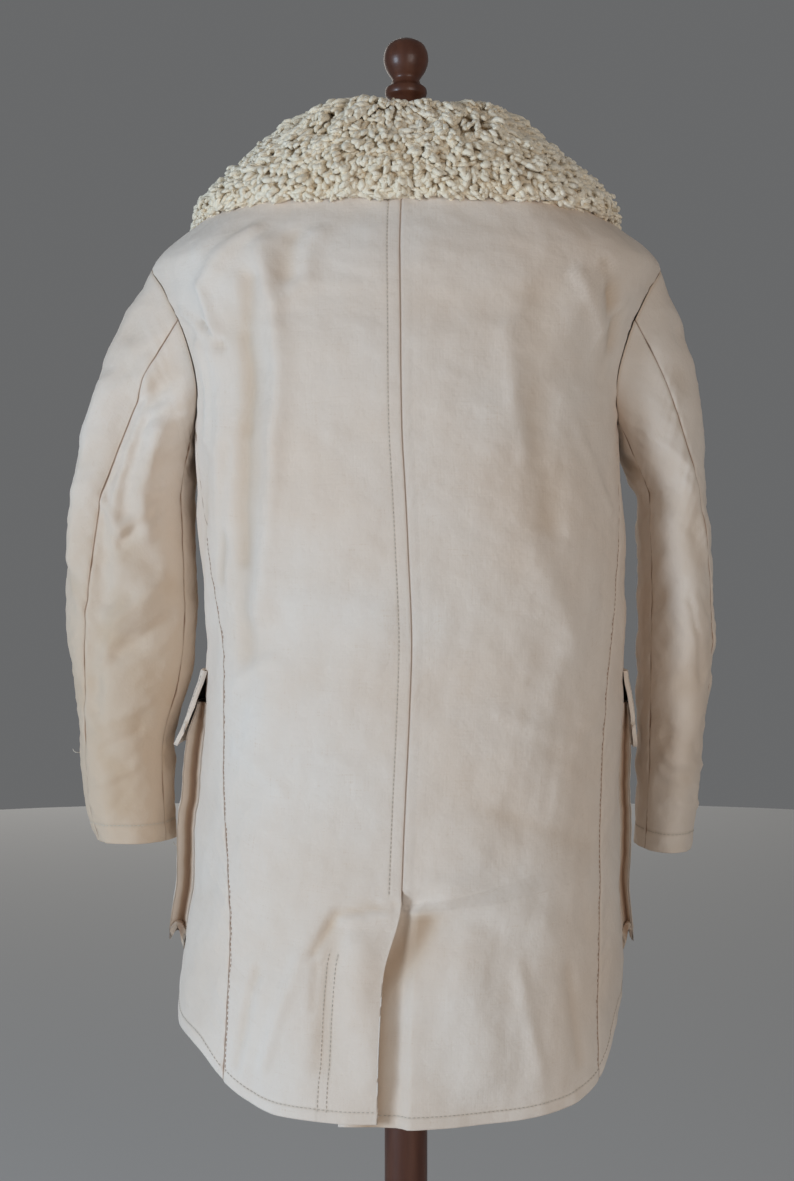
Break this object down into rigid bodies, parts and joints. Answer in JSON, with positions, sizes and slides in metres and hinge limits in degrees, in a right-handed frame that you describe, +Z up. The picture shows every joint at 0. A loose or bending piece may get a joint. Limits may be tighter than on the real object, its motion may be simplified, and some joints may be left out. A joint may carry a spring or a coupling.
{
  "type": "long winter coat on a limbless dress form",
  "caption": "Long canvas winter coat with a wide curly pile collar, back vent and flapped side pockets, on a dress form with a turned wooden stand.",
  "frame": {"origin": "centre of the stand base's underside, on the axis of the pole", "axes": "+Z up, -Y the way the coat's front faces, +X towards the wearer's left"},
  "size_m": [0.6809, 0.3938, 1.629],
  "materials": {
    "canvas": "matte",
    "pile": "matte",
    "button": "satin",
    "form_cover": "matte",
    "wood": "satin"
  },
  "bodies": {
    "root": {"back_left": "canvas", "back_right": "canvas", "front_left": "canvas", "front_right": "canvas", "top_sleeve_left": "canvas", "top_sleeve_right": "canvas", "under_sleeve_left": "canvas", "under_sleeve_right": "canvas", "pocket_left": "canvas", "pocket_right": "canvas", "flap_left": "canvas", "flap_right": "canvas", "collar": "pile", "flap_button_left": "button", "flap_button_right": "button", "cuff_button_right": "button", "front_button_1": "button", "front_button_2": "button", "front_button_3": "button", "front_button_4": "button", "form_torso": "form_cover", "neck_cap": "wood", "finial": "wood", "stem": "wood", "base": "wood"}
  },
  "joints": []
}
